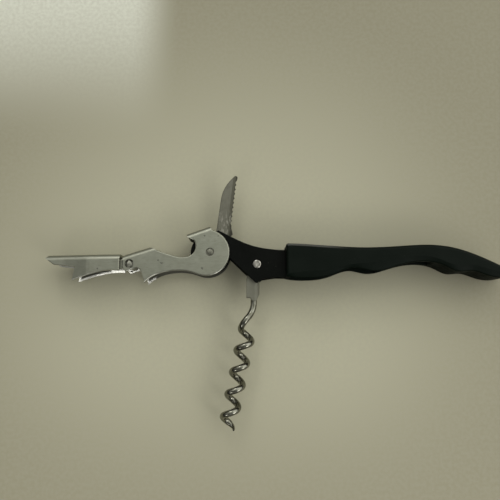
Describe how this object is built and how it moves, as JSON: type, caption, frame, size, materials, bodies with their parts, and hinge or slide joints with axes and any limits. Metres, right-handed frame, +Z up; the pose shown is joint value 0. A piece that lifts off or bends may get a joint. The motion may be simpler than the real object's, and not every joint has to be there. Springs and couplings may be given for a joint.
{
  "type": "lever corkscrew",
  "caption": "Folding lever corkscrew, opened out: hinged two-step lever with cap opener, wound worm on a hinged carrier, serrated foil knife and a finger-grooved handle.",
  "frame": {"origin": "middle of the opened tool's footprint, on the table it lies on", "axes": "+X along the handle towards its tail, +Y towards the knife, +Z up, across the tool's width"},
  "size_m": [0.1752, 0.0964, 0.0146],
  "materials": {
    "black_plastic": "satin, moulded",
    "black_paint": "satin black coat",
    "nickel_steel": "satin nickel plate",
    "carrier_steel": "satin plate",
    "worm_steel": "polished",
    "blade_steel": "ground",
    "rivet_steel": "turned",
    "washer_steel": "plain",
    "spring_steel": "rolled"
  },
  "bodies": {
    "handle": {"grip": "black_plastic", "frame": "black_paint", "worm_rivet": "rivet_steel", "worm_washer_near": "washer_steel", "worm_washer_far": "washer_steel"},
    "lever": {"lever_arm": "nickel_steel", "lever_rivet": "rivet_steel", "lever_washer_near": "washer_steel", "lever_washer_far": "washer_steel", "step_rivet": "rivet_steel", "step_spring": "spring_steel"},
    "step": {"step_arm": "nickel_steel", "step_spacer": "washer_steel"},
    "worm": {"worm_carrier": "carrier_steel", "worm": "worm_steel"},
    "knife": {"knife": "blade_steel", "knife_spacer_near": "washer_steel", "knife_spacer_far": "washer_steel"}
  },
  "joints": [
    {"name": "worm_fold", "type": "hinge", "parent": "handle", "child": "worm", "pos_m": [-0.00787, 0.01279, 0.0073], "axis": [0, 0, 1], "range_deg": [0, 99.4]},
    {"name": "lever_swing", "type": "hinge", "parent": "handle", "child": "lever", "pos_m": [-0.0255, 0.01717, 0.0073], "axis": [0, 0, 1], "range_deg": [0, 72]},
    {"name": "step_swing", "type": "hinge", "parent": "lever", "child": "step", "pos_m": [-0.0556, 0.01277, 0.0073], "axis": [0, 0, 1], "range_deg": [0, 25]},
    {"name": "knife_fold", "type": "hinge", "parent": "handle", "child": "knife", "pos_m": [-0.0255, 0.01717, 0.0073], "axis": [0, 0, 1], "range_deg": [-70, 0]}
  ]
}
